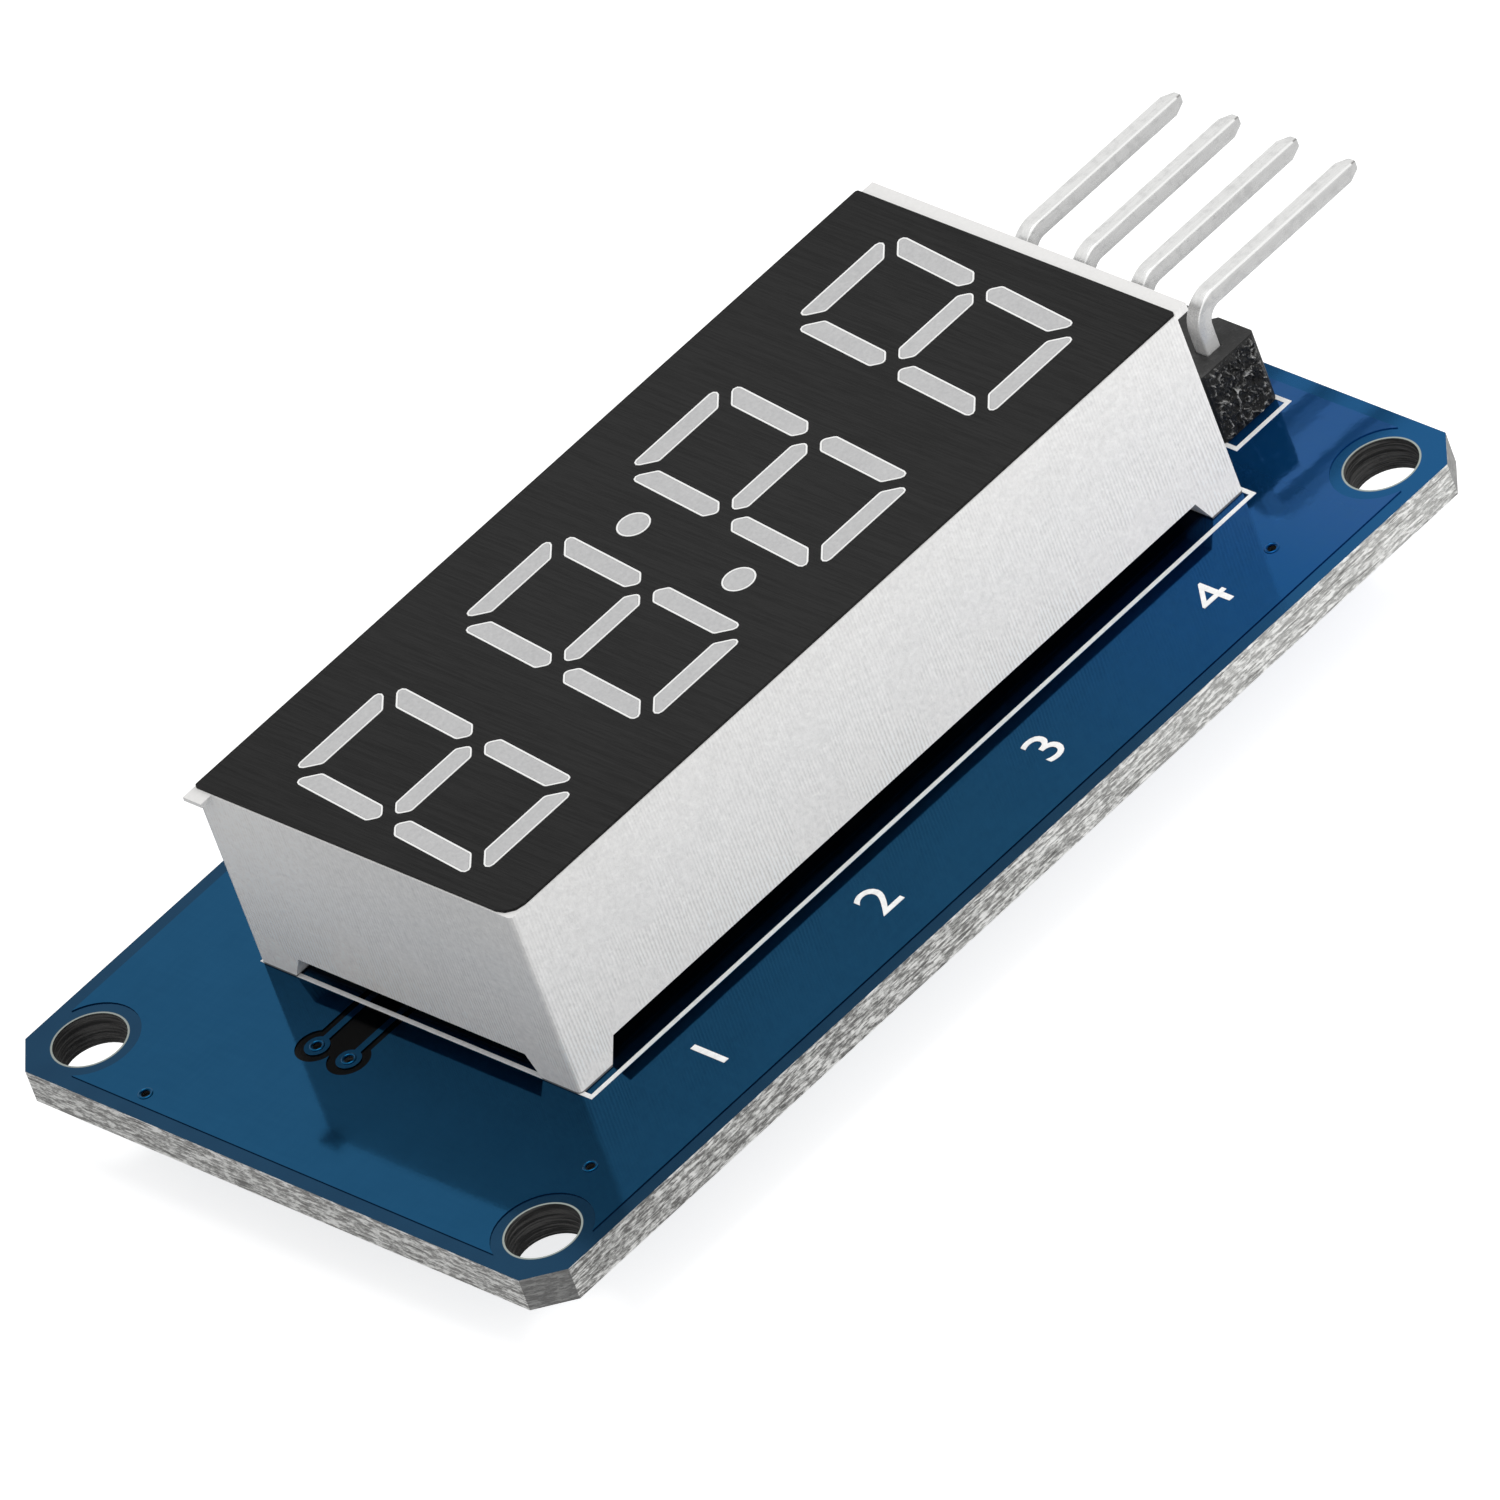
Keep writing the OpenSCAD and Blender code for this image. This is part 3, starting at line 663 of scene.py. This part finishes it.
class Outline:
    """A closed line on the board, drawn as straight runs and arcs."""

    ARC_STEP = math.radians(9)

    def __init__(self, bm, x, y):
        self.bm = bm
        self.first = bm.verts.new((x, y, 0))
        self.last = self.first

    def line(self, x, y):
        corner = self.bm.verts.new((x, y, 0))
        self.bm.edges.new((self.last, corner))
        self.last = corner

    def arc(self, x, y, degrees):
        angle = math.radians(degrees)
        steps = max(2, math.ceil(abs(angle) / self.ARC_STEP))
        swept = bmesh.ops.spin(
            self.bm, geom=[self.last], cent=(x, y, 0), axis=UP, angle=angle, steps=steps
        )
        self.last = swept["geom_last"][0]

    def close(self):
        self.bm.edges.new((self.last, self.first))


def via_hole(bm, x, y):
    """Edge of a plated hole, as a closed line."""
    spot = Matrix.Translation((x, y, 0))
    bmesh.ops.create_circle(bm, cap_ends=False, radius=VIA_R, segments=VIA_STEPS, matrix=spot)


def frame_line(bm, low, high):
    """A rectangle on the board, as a closed line."""
    pen = Outline(bm, low[0], low[1])
    pen.line(high[0], low[1])
    pen.line(high[0], high[1])
    pen.line(low[0], high[1])
    pen.close()


def raise_plate(bm, z, thickness):
    """Fill the lines of a bmesh, leave the inner ones open, and thicken the sheet from z, up or down."""
    bmesh.ops.triangle_fill(bm, use_beauty=True, edges=bm.edges, normal=UP)
    raised = bmesh.ops.extrude_face_region(bm, geom=bm.faces[:])
    moved = [item for item in raised["geom"] if isinstance(item, bmesh.types.BMVert)]
    bmesh.ops.translate(bm, vec=UP * thickness, verts=moved)
    bmesh.ops.translate(bm, vec=UP * z, verts=bm.verts)
    bmesh.ops.recalc_face_normals(bm, faces=bm.faces)


def join_into(bm, other):
    """Add a bmesh to another one, and free it."""
    mesh = bpy.data.meshes.new("part")
    other.to_mesh(mesh)
    other.free()
    bm.from_mesh(mesh)
    bpy.data.meshes.remove(mesh)


def round_edges(bm, edges, width):
    """Bevel edges, and drop the faces that the bevel left without a width."""
    bmesh.ops.bevel(
        bm,
        geom=edges,
        offset=width,
        offset_type="OFFSET",
        affect="EDGES",
        segments=ROUND_STEPS,
        profile=0.5,
        material=-1,
        clamp_overlap=True,
    )
    bmesh.ops.dissolve_degenerate(bm, dist=WELD_GAP, edges=bm.edges)


def rounded_copy(node, finish, width, wanted=None, shape=None, smooth=SMOOTH_ANGLE):
    """Copy of a solid with its sharp edges rounded, which stands for that solid. It can be shaped first,
    and the edges to round can be picked."""
    bm = bmesh.new()
    bm.from_mesh(nodes[node].data)
    bmesh.ops.scale(bm, vec=(1 / MM,) * 3, verts=bm.verts)
    bmesh.ops.remove_doubles(bm, verts=bm.verts, dist=WELD_GAP)
    bmesh.ops.dissolve_limit(bm, angle_limit=FLAT_ANGLE, verts=bm.verts, edges=bm.edges)
    if shape:
        shape(bm)
    sharp = [edge for edge in bm.edges if edge.is_manifold and edge.calc_face_angle() > SHARP_ANGLE]
    round_edges(bm, [edge for edge in sharp if wanted is None or wanted(edge)], width)
    piece = make_piece(f"{node}_rounded", bm, finish, [node])
    piece.data.shade_smooth()
    piece.data.set_sharp_from_angle(angle=smooth)


def on_outer_skin(edge):
    """Edges of the housing's outside, not those of its wells and rims."""
    middle = (edge.verts[0].co + edge.verts[1].co) / 2
    inside_x = FILM_LO.x + SKIN_DEPTH < middle.x < FILM_HI.x - SKIN_DEPTH
    inside_y = FILM_LO.y + SKIN_DEPTH < middle.y < FILM_HI.y - SKIN_DEPTH
    return not (inside_x and inside_y)


def draft_front_wall(bm):
    """Lean the housing's front wall out towards its feet, and ease the top edge of its gap."""
    skin = [vert for vert in bm.verts if vert.co.y < HOUSING_LO.y + SKIN_DEPTH]
    over_gap = [vert for vert in skin if GAP_TOP_MIN < vert.co.z - BOARD_TOP < GAP_TOP_MAX]
    bmesh.ops.translate(bm, vec=UP * GAP_LIFT, verts=over_gap)
    lean = Matrix.Identity(4)
    lean[1][2] = WALL_DRAFT / (HOUSING_HI.z - BOARD_TOP)
    lean[1][3] = -lean[1][2] * HOUSING_HI.z
    bmesh.ops.transform(bm, matrix=lean, verts=skin)


# Copper under the mask


def pour_outline(bm):
    """Edge of the copper: straight runs inside the board's edge that bend round the mounting holes."""
    x_edge = BOARD_HI.x - COPPER_INSET
    y_edge = BOARD_HI.y - COPPER_INSET
    reach_x = math.sqrt(HOLE_CLEAR_R**2 - (y_edge - HOLE_Y) ** 2)
    reach_y = math.sqrt(HOLE_CLEAR_R**2 - (x_edge - HOLE_X) ** 2)
    start = math.degrees(math.atan2(y_edge - HOLE_Y, -reach_x))
    end = math.degrees(math.atan2(-reach_y, x_edge - HOLE_X)) + 360
    sweep = end - start
    pen = Outline(bm, HOLE_X - reach_x, y_edge)
    pen.arc(HOLE_X, HOLE_Y, sweep)
    pen.line(x_edge, -HOLE_Y + reach_y)
    pen.arc(HOLE_X, -HOLE_Y, sweep)
    pen.line(-HOLE_X + reach_x, -y_edge)
    pen.arc(-HOLE_X, -HOLE_Y, sweep)
    pen.line(-x_edge, HOLE_Y - reach_y)
    pen.arc(-HOLE_X, HOLE_Y, sweep)
    pen.close()


def track_clearance(bm):
    """Gap in the copper round the two pads and their tracks."""
    (x, y_far), (_, y_near) = PAD_VIAS
    half = (y_far - y_near) / 2
    back = math.sqrt(VIA_CLEAR_R**2 - half**2)
    side = math.sqrt(VIA_CLEAR_R**2 - TRACK_CLEAR**2)
    tilt = math.degrees(math.asin(TRACK_CLEAR / VIA_CLEAR_R))
    notch = math.degrees(math.atan2(half, back))
    pen = Outline(bm, TRACK_END, y_near - TRACK_CLEAR)
    pen.line(x + side, y_near - TRACK_CLEAR)
    pen.arc(x, y_near, -(180 - tilt + notch))
    pen.arc(x, y_far, -(180 - tilt + notch))
    pen.line(TRACK_END, y_far + TRACK_CLEAR)
    pen.close()


def track_island(x, y):
    """A pad with its track."""
    bm = bmesh.new()
    side = math.sqrt(VIA_PAD_R**2 - TRACK_HALF_W**2)
    tilt = math.degrees(math.asin(TRACK_HALF_W / VIA_PAD_R))
    pen = Outline(bm, x + side, y + TRACK_HALF_W)
    pen.arc(x, y, 360 - 2 * tilt)
    pen.line(TRACK_END - TRACK_HALF_W, y - TRACK_HALF_W)
    pen.line(TRACK_END - TRACK_HALF_W, y + TRACK_HALF_W)
    pen.close()
    via_hole(bm, x, y)
    raise_plate(bm, BOARD_TOP, COPPER_T)
    return bm


def copper_top(finish):
    """Copper on the face side: one pour, and two pads with their tracks."""
    bm = bmesh.new()
    pour_outline(bm)
    for x, y in PLAIN_VIAS:
        via_hole(bm, x, y)
    track_clearance(bm)
    raise_plate(bm, BOARD_TOP, COPPER_T)
    for x, y in PAD_VIAS:
        join_into(bm, track_island(x, y))
    make_piece("copper_relief_top", bm, finish)


def copper_bottom(finish):
    """Copper under the board: one pour."""
    bm = bmesh.new()
    pour_outline(bm)
    for x, y in PLAIN_VIAS + PAD_VIAS:
        via_hole(bm, x, y)
    raise_plate(bm, BOARD_LO.z, -COPPER_T)
    make_piece("copper_relief_bottom", bm, finish)


def via_rings(finish):
    """Bead of mask round each via, where the mask runs into the plated hole."""
    bm = bmesh.new()
    for x, y in PLAIN_VIAS + PAD_VIAS:
        start = bm.verts.new((x + VIA_RING_R + VIA_BEAD_R, y, PRINT_Z))
        middle = (x + VIA_RING_R, y, PRINT_Z)
        turn = {"axis": (0, -1, 0), "angle": math.pi, "steps": BEAD_STEPS}
        arc = bmesh.ops.spin(bm, geom=[start], cent=middle, **turn)
        bm.edges.new((arc["geom_last"][0], start))
        profile = [edge for edge in bm.edges if not edge.link_faces]
        full_turn = {"axis": UP, "angle": 2 * math.pi, "steps": RING_STEPS, "use_merge": True}
        bmesh.ops.spin(bm, geom=profile, cent=(x, y, 0), **full_turn)
    bmesh.ops.recalc_face_normals(bm, faces=bm.faces)
    piece = make_piece("via_rings", bm, finish)
    piece.data.shade_smooth()


# Print


def outline_print(finish):
    """White rectangles of one line width round the display and the header, as one piece."""
    bm = bmesh.new()
    display = (
        (FILM_LO.x - DISPLAY_PRINT_LEFT, FILM_LO.y - DISPLAY_PRINT_FRONT),
        (FILM_HI.x + DISPLAY_PRINT_RIGHT, FILM_HI.y + DISPLAY_PRINT_BACK),
    )
    header = (
        (BLOCK_LO.x - HEADER_PRINT_SIDE, -BLOCK_HI.y - HEADER_PRINT_END),
        (BLOCK_HI.x + HEADER_PRINT_SIDE, BLOCK_HI.y + HEADER_PRINT_END),
    )
    for low, high in (display, header):
        frame_line(bm, low, high)
        frame_line(bm, (low[0] + PRINT_W, low[1] + PRINT_W), (high[0] - PRINT_W, high[1] - PRINT_W))
    raise_plate(bm, PRINT_Z, PRINT_T)
    make_piece("board_print_outlines", bm, finish)


def number_print(finish):
    """Plain digit numbers under the four digits."""
    bm = bmesh.new()
    for number in "1234":
        low, high = box_mm(f"segment_{number}d")
        curve = bpy.data.curves.new("number", "FONT")
        curve.body = number
        curve.size = NUMBER_H / CAPITAL_SHARE
        curve.align_x = "CENTER"
        curve.align_y = "CENTER"
        curve.extrude = PRINT_T / 2
        curve.resolution_u = NUMBER_STEPS
        drawn = bpy.data.objects.new("number", curve)
        bpy.context.scene.collection.objects.link(drawn)
        bpy.context.view_layer.update()
        mesh = drawn.to_mesh()
        mesh.transform(Matrix.Translation(((low.x + high.x) / 2, NUMBER_Y, PRINT_Z + PRINT_T / 2)))
        bm.from_mesh(mesh)
        drawn.to_mesh_clear()
        bpy.data.objects.remove(drawn)
        bpy.data.curves.remove(curve)
    bmesh.ops.remove_doubles(bm, verts=bm.verts, dist=WELD_GAP)
    bmesh.ops.recalc_face_normals(bm, faces=bm.faces)
    make_piece("board_print_numbers", bm, finish)


# Pads under the board


def pad_spots():
    """Middle and size of each pad: under the chip's leads, and under the ends of the chip parts."""
    for tip in (LEADS_LO.x + LEAD_PAD_BACK, LEADS_HI.x - LEAD_PAD_BACK):
        for i in range(LEADS_PER_SIDE):
            yield tip, (i - (LEADS_PER_SIDE - 1) / 2) * LEAD_PITCH, LEAD_PAD
    for part in CHIP_PARTS:
        low, high = box_mm(part)
        for x in (low.x - PART_PAD_OUT, high.x + PART_PAD_OUT):
            yield x, (low.y + high.y) / 2, PART_PAD


def pads(finish):
    """Tinned pads, with rounded corners."""
    bm = bmesh.new()
    pad_t = COPPER_T + PAD_PROUD
    for x, y, size in pad_spots():
        spot = Matrix.Translation((x, y, BOARD_LO.z - pad_t / 2)) @ Matrix.Diagonal((*size, pad_t, 1))
        made = bmesh.ops.create_cube(bm, size=1, matrix=spot)
        edges = {edge for vert in made["verts"] for edge in vert.link_edges}
        upright = [edge for edge in edges if edge.verts[0].co.z != edge.verts[1].co.z]
        round_edges(bm, upright, PAD_CORNER)
    make_piece("solder_pads", bm, finish)


# Broken end of the header


def broken_end(finish):
    """Torn skin on the header's near end, where it was snapped off a longer strip."""
    bm = bmesh.new()
    ridge = bm.verts.layers.float.new("ridge")
    width = BLOCK_HI.x - BLOCK_LO.x - 2 * (HEADER_CUT - HEADER_BREAK + TORN_MARGIN)
    height = BLOCK_HI.z - BLOCK_LO.z - 2 * TORN_MARGIN
    middle = Vector(((BLOCK_LO.x + BLOCK_HI.x) / 2, BLOCK_LO.y, (BLOCK_LO.z + BLOCK_HI.z) / 2))
    upright = Matrix.Rotation(math.pi / 2, 4, "X")
    stand = Matrix.Translation(middle) @ upright @ Matrix.Diagonal((width, height, 1, 1))
    steps = {"x_segments": TORN_STEPS_X, "y_segments": TORN_STEPS_Z}
    bmesh.ops.create_grid(bm, **steps, size=0.5, matrix=stand)
    front = bm.verts[:]
    bmesh.ops.extrude_face_region(bm, geom=bm.faces[:])
    for vert in front:
        u = abs(vert.co.x - middle.x) / (width / 2)
        v = abs(vert.co.z - middle.z) / (height / 2)
        fade = min(1, (1 - u) * TORN_FADE, (1 - v) * TORN_FADE)
        lean = TEAR_SLANT @ vert.co
        tear = noise.fractal(lean * TEAR_SCALE, TEAR_ROUGHNESS, TEAR_LACUNARITY, TEAR_OCTAVES)
        vein = abs(noise.noise(lean * CREST_SCALE + CREST_OFFSET))
        crest = max(0, 1 - CREST_SHARPNESS * vein)
        vert[ridge] = fade * crest
        vert.co.y -= fade * (TORN_SWELL + TORN_DEPTH * tear + CREST_H * crest) + TORN_PROUD
    bmesh.ops.recalc_face_normals(bm, faces=bm.faces)
    make_piece("header_broken_end", bm, finish)


# Assembly of the looks

mask_copper = copper_finish()
tin = tin_finish()
solder = solder_finish()
white_print = print_finish()
housing_white = housing_finish()
header_black = black_plastic_finish()
epoxy = chip_finish()
resistor_look = chip_part_finish(
    "chip_resistor", dark=(0.55, 0.55, 0.53), pale=(0.75, 0.75, 0.72), face_color=(0.014, 0.014, 0.015)
)
capacitor_look = chip_part_finish(
    "chip_capacitor", dark=(0.3, 0.2, 0.12), pale=(0.45, 0.32, 0.2), face_color=(0.38, 0.26, 0.16)
)

dress(["circuit_board"], board_finish())
dress(["display_housing"], housing_white)
dress(["face_film"], film_finish())
dress(SEGMENTS + ["colon_upper", "colon_lower"], resin_finish())
dress(["carrier_board"], carrier_finish())
dress(["led_dies"], die_finish())
dress(["potting_resin"], potting_finish())
dress(["display_pins", "chip_leads"] + HEADER_PINS, tin)
dress(["display_solder", "header_solder", "chip_solder", "chip_part_solder"], solder)
dress(["header_block"], header_black)
dress(["driver_chip"], epoxy)
dress(["resistor_1", "resistor_2"], resistor_look)
dress(["capacitor_1", "capacitor_2", "capacitor_3"], capacitor_look)

rounded_copy(
    "display_housing",
    housing_white,
    HOUSING_ROUND,
    wanted=on_outer_skin,
    shape=draft_front_wall,
    smooth=HOUSING_SMOOTH_ANGLE,
)
rounded_copy("header_block", header_black, HEADER_ROUND)
rounded_copy("driver_chip", epoxy, CHIP_ROUND)
for pin in HEADER_PINS:
    rounded_copy(pin, tin, PIN_ROUND)
for part in CHIP_PARTS:
    is_resistor = part.startswith("resistor")
    look = resistor_look if is_resistor else capacitor_look
    rounded_copy(part, look, PART_ROUND)

copper_top(mask_copper)
copper_bottom(mask_copper)
via_rings(mask_copper)
outline_print(white_print)
number_print(white_print)
pads(solder)
broken_end(broken_plastic_finish())


# Camera, fitted to the photograph, in degrees, millimetres and pixels

CAMERA_AZIMUTH = -33.013
CAMERA_ELEVATION = 37.098
CAMERA_ROLL = -20.846
CAMERA_DISTANCE = 945.489
CAMERA_SIDE = 0.402
CAMERA_LIFT = 0.042
FOCAL_PX = 31214.9
IMAGE_PX = 1500
SENSOR_MM = 36


def place_camera():
    """Camera that looks at the board as the photograph does."""
    data = bpy.data.cameras.new("camera")
    data.sensor_width = SENSOR_MM
    data.lens = FOCAL_PX * SENSOR_MM / IMAGE_PX
    camera = bpy.data.objects.new("camera", data)
    bpy.context.scene.collection.objects.link(camera)
    azimuth = math.radians(CAMERA_AZIMUTH)
    elevation = math.radians(CAMERA_ELEVATION)
    back = Vector(
        (
            math.sin(azimuth) * math.cos(elevation),
            -math.cos(azimuth) * math.cos(elevation),
            math.sin(elevation),
        )
    )
    turn = (-back).to_track_quat("-Z", "Y") @ Quaternion((0, 0, 1), math.radians(CAMERA_ROLL))
    offset = turn @ Vector((CAMERA_SIDE, CAMERA_LIFT, CAMERA_DISTANCE))
    camera.rotation_mode = "QUATERNION"
    camera.rotation_quaternion = turn
    camera.location = (Vector((0, 0, BOARD_TOP)) + offset) * MM
    bpy.context.scene.camera = camera


# Studio, in metres and watts

FLOOR_SIZE = 4


def soft_light(name, position, size, watts, mirrored=True):
    """Round area light that faces the module. One that isn't mirrored leaves no glare on glossy faces."""
    data = bpy.data.lights.new(name, "AREA")
    data.shape = "DISK"
    data.size = size
    data.energy = watts
    lamp = bpy.data.objects.new(name, data)
    bpy.context.scene.collection.objects.link(lamp)
    lamp.location = position
    lamp.rotation_mode = "QUATERNION"
    lamp.rotation_quaternion = (-Vector(position)).to_track_quat("-Z", "Y")
    lamp.visible_camera = False
    lamp.visible_glossy = mirrored


def white_world(fill):
    """White background. The camera and reflections see all of it, and a share, the fill, gives light."""
    world = bpy.data.worlds.new("studio")
    bpy.context.scene.world = world
    world.use_nodes = True
    sky = NodeTree(world.node_tree)
    background = sky.tree.nodes["Background"]
    sky.feed(background.inputs["Color"], (1, 1, 1))
    sky.feed(background.inputs["Strength"], fill + (1 - fill) * sky.seen())


def pale_floor(shade, glow, shine):
    """White sheet under the module. It keeps the shadow, glows for the camera and less so for
    reflections, and what is above it can be seen from below."""
    bm = bmesh.new()
    spot = Matrix.Translation((0, 0, FLOOR_Z * MM))
    bmesh.ops.create_grid(bm, x_segments=1, y_segments=1, size=FLOOR_SIZE, matrix=spot)
    mesh = bpy.data.meshes.new("floor")
    bm.to_mesh(mesh)
    bm.free()
    floor = bpy.data.objects.new("floor", mesh)
    bpy.context.scene.collection.objects.link(floor)
    material = bpy.data.materials.new("white_sheet")
    material.use_nodes = True
    sheet = NodeTree(material.node_tree)
    sheet.tree.nodes.remove(sheet.tree.nodes["Principled BSDF"])
    paper = sheet.node("ShaderNodeBsdfDiffuse", {}, {"Color": (shade, shade, shade)})
    direct = sheet.ray("Camera").math("MAXIMUM", sheet.ray("Transmission"))
    strength = direct * glow + sheet.ray("Glossy") * shine
    light = sheet.node("ShaderNodeEmission", {}, {"Strength": strength})
    both = sheet.node("ShaderNodeAddShader", {}, {0: paper, 1: light})
    clear = sheet.node("ShaderNodeBsdfTransparent")
    under = sheet.node("ShaderNodeNewGeometry", output="Backfacing") * sheet.ray("Camera")
    choice = sheet.node("ShaderNodeMixShader", {}, {0: under, 1: both, 2: clear})
    sheet.feed(sheet.tree.nodes["Material Output"].inputs["Surface"], choice)
    mesh.materials.append(material)


place_camera()
soft_light("key_light", position=(0.075, -0.095, 0.036), size=0.09, watts=0.074, mirrored=False)
soft_light("top_light", position=(0.02, 0.02, 0.5), size=0.3, watts=0.75)
white_world(fill=0.56)
pale_floor(shade=0.6, glow=0.75, shine=0.3)
bpy.context.scene.view_settings.view_transform = "Standard"
